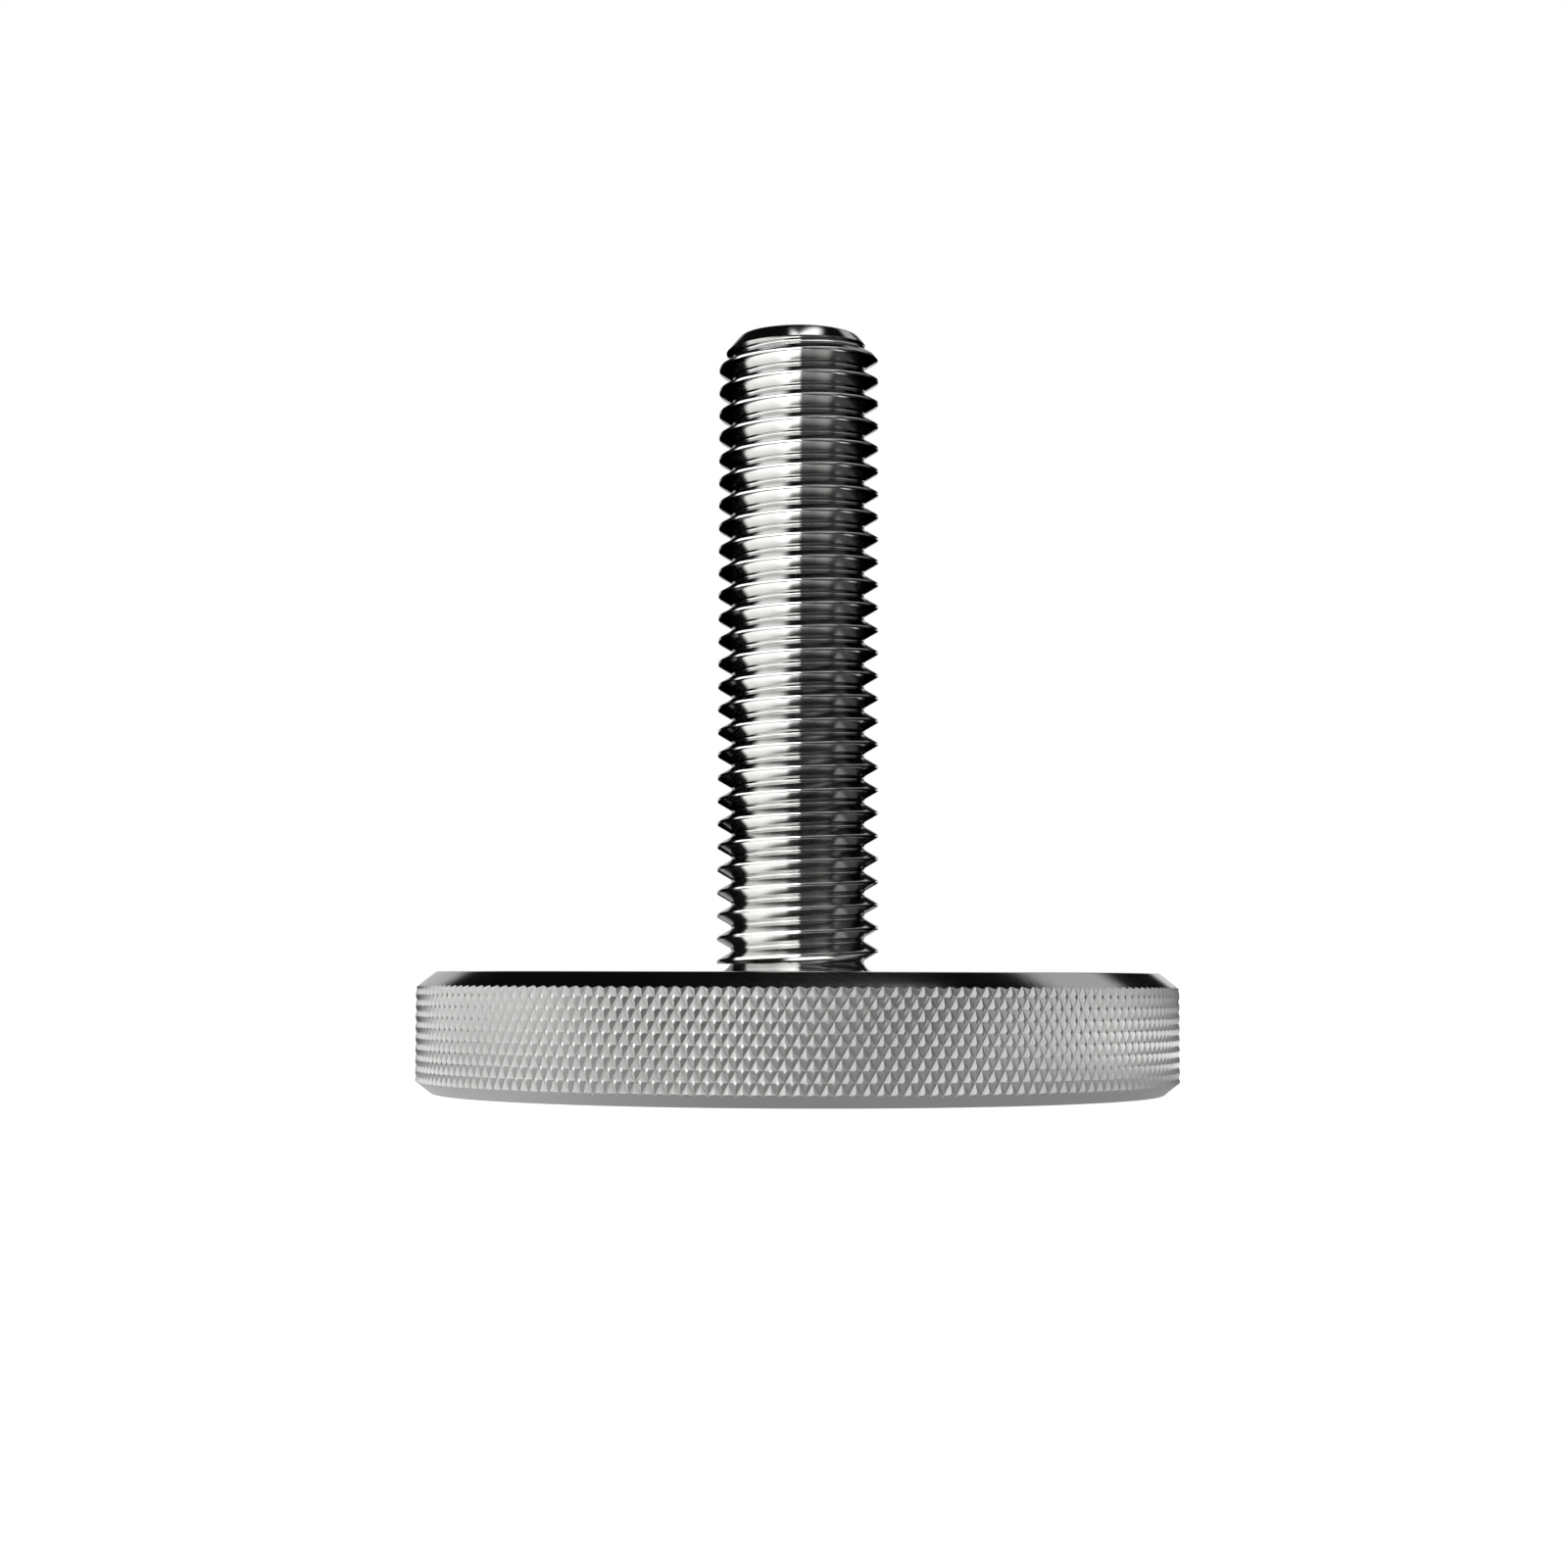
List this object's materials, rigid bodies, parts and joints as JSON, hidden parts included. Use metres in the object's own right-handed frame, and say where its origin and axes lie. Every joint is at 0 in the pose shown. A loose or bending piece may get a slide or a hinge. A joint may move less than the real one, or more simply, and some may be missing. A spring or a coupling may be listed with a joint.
{
  "type": "thumb screw",
  "caption": "Turned thumb screw: a wide, thin disc head with a diamond-knurled, bevelled rim and a threaded shank with a bevelled tip, for clamping by hand.",
  "frame": {"origin": "centre of the head's outer flat face, on which the screw stands", "axes": "+Z along the shank, from the head towards the tip; the thread's lowest crest starts on the -X side"},
  "size_m": [0.0298, 0.0298, 0.0301],
  "materials": {
    "steel": "bright turned stainless steel"
  },
  "bodies": {
    "root": {"screw": "steel"}
  },
  "joints": []
}
